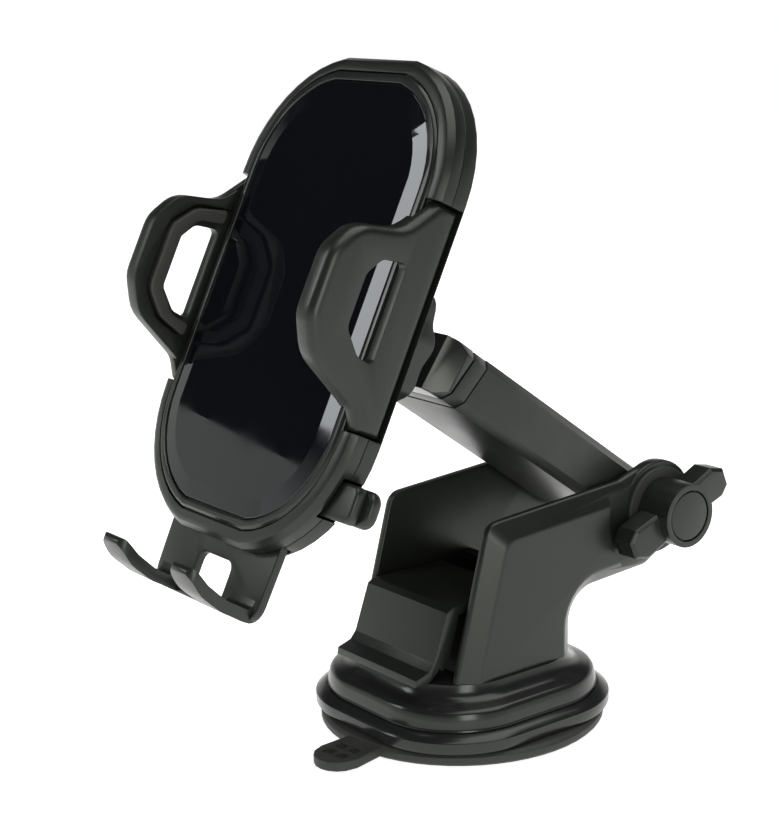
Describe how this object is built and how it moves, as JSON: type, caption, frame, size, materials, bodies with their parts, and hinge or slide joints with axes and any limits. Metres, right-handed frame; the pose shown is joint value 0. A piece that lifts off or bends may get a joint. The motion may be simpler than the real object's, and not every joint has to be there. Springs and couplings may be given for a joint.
{
  "type": "car phone mount",
  "caption": "Suction-cup car phone mount: lever-locked base, folding telescopic arm, ball joint and a wireless-charging cradle with clamp arms and a hooked foot.",
  "frame": {"origin": "centre of the suction disc's flat underside, on the dashboard or windscreen", "axes": "+Z away from the surface it sticks to; -Y towards the lever and the driver; +X towards the knob"},
  "size_m": [0.0875, 0.1656, 0.1725],
  "materials": {
    "satin_black": "satin moulded ABS with a fine spark texture",
    "gloss_black": "smooth glossy ABS",
    "soft_rubber": "matt soft rubber",
    "black_glass": "polished black-backed glass with a bevelled edge",
    "steel": "plain zinc-plated steel",
    "copper": "enamelled copper winding",
    "circuit_green": "green solder mask"
  },
  "bodies": {
    "base": {"suction_pad": "soft_rubber", "base_skirt": "gloss_black", "base_housing": "satin_black", "lever_pin": "steel", "pivot_bolt": "steel", "bolt_cap": "satin_black", "washer_right": "soft_rubber", "washer_left": "soft_rubber", "knob_washer": "soft_rubber"},
    "lever": {"suction_lever": "satin_black"},
    "stem": {"suction_stem": "steel"},
    "knob": {"clamp_knob": "satin_black", "knob_nut": "steel", "knob_cap": "satin_black"},
    "sleeve": {"arm_sleeve": "satin_black", "sleeve_collar": "satin_black"},
    "boom": {"inner_arm": "satin_black", "arm_head": "gloss_black", "ball_stud": "steel"},
    "tilt_liner": {"ball_liner_rear": "soft_rubber"},
    "swivel_liner": {"ball_liner_front": "soft_rubber"},
    "cradle": {"glass_panel": "black_glass", "bezel_ring": "gloss_black", "front_frame": "satin_black", "rear_shell": "satin_black", "case_screw_1": "steel", "case_screw_2": "steel", "case_screw_3": "steel", "case_screw_4": "steel", "charging_coil": "copper", "coil_ferrite": "gloss_black", "circuit_board": "circuit_green", "usb_port": "steel", "ball_socket": "satin_black"},
    "lock_nut": {"ring_nut": "satin_black"},
    "pinion": {"pinion_gear": "gloss_black"},
    "right_jaw": {"clamp_right": "satin_black", "pad_right": "soft_rubber"},
    "left_jaw": {"clamp_left": "satin_black", "pad_left": "soft_rubber"},
    "button": {"release_button": "satin_black"},
    "foot": {"foot_hook": "satin_black"}
  },
  "joints": [
    {"name": "lever_turn", "type": "hinge", "parent": "base", "child": "lever", "pos_m": [0, 0.008, 0.029], "axis": [-1, 0, 0], "range_deg": [0, 60]},
    {"name": "stem_slide", "type": "slide", "parent": "base", "child": "stem", "axis": [0, 0, 1], "range_m": [-0.002, 0]},
    {"name": "knob_turn", "type": "hinge", "parent": "base", "child": "knob", "pos_m": [0, 0.0505, 0.051], "axis": [1, 0, 0], "range_deg": [0, 270]},
    {"name": "arm_fold", "type": "hinge", "parent": "base", "child": "sleeve", "pos_m": [0, 0.0505, 0.051], "axis": [1, 0, 0], "range_deg": [-100, 15]},
    {"name": "telescope", "type": "slide", "parent": "sleeve", "child": "boom", "axis": [0, -0.8064, 0.5913], "range_m": [0, 0.038]},
    {"name": "ball_tilt", "type": "hinge", "parent": "boom", "child": "tilt_liner", "pos_m": [0, -0.02689, 0.10477], "axis": [1, 0, 0], "range_deg": [-22, 6]},
    {"name": "ball_swivel", "type": "hinge", "parent": "tilt_liner", "child": "swivel_liner", "pos_m": [0, -0.02689, 0.10477], "axis": [0, 0.454, 0.891], "range_deg": [-9, 9]},
    {"name": "ball_roll", "type": "hinge", "parent": "swivel_liner", "child": "cradle", "pos_m": [0, -0.02689, 0.10477], "axis": [0, 0.891, -0.454], "continuous": true},
    {"name": "nut_turn", "type": "hinge", "parent": "cradle", "child": "lock_nut", "pos_m": [0, -0.02689, 0.10477], "axis": [0, 0.891, -0.454], "range_deg": [0, 120]},
    {"name": "right_jaw_slide", "type": "slide", "parent": "cradle", "child": "right_jaw", "axis": [1, 0, 0], "range_m": [0, 0.012]},
    {"name": "left_jaw_slide", "type": "slide", "parent": "cradle", "child": "left_jaw", "axis": [-1, 0, 0], "range_m": [0, 0.012]},
    {"name": "pinion_turn", "type": "hinge", "parent": "cradle", "child": "pinion", "pos_m": [0, -0.04384, 0.11643], "axis": [0, 0.891, -0.454], "range_deg": [0, 140]},
    {"name": "button_press", "type": "slide", "parent": "cradle", "child": "button", "axis": [-1, 0, 0], "range_m": [0, 0.003], "stiffness_N_per_m": 400, "springref_m": -0.002},
    {"name": "foot_slide", "type": "slide", "parent": "cradle", "child": "foot", "axis": [0, 0.454, 0.891], "range_m": [-0.01, 0.01]}
  ],
  "couplings": [
    {"joint": "stem_slide", "follows": "lever_turn", "m_per_rad": -0.0019},
    {"joint": "left_jaw_slide", "follows": "right_jaw_slide", "ratio": 1},
    {"joint": "pinion_turn", "follows": "right_jaw_slide", "rad_per_m": 200}
  ]
}
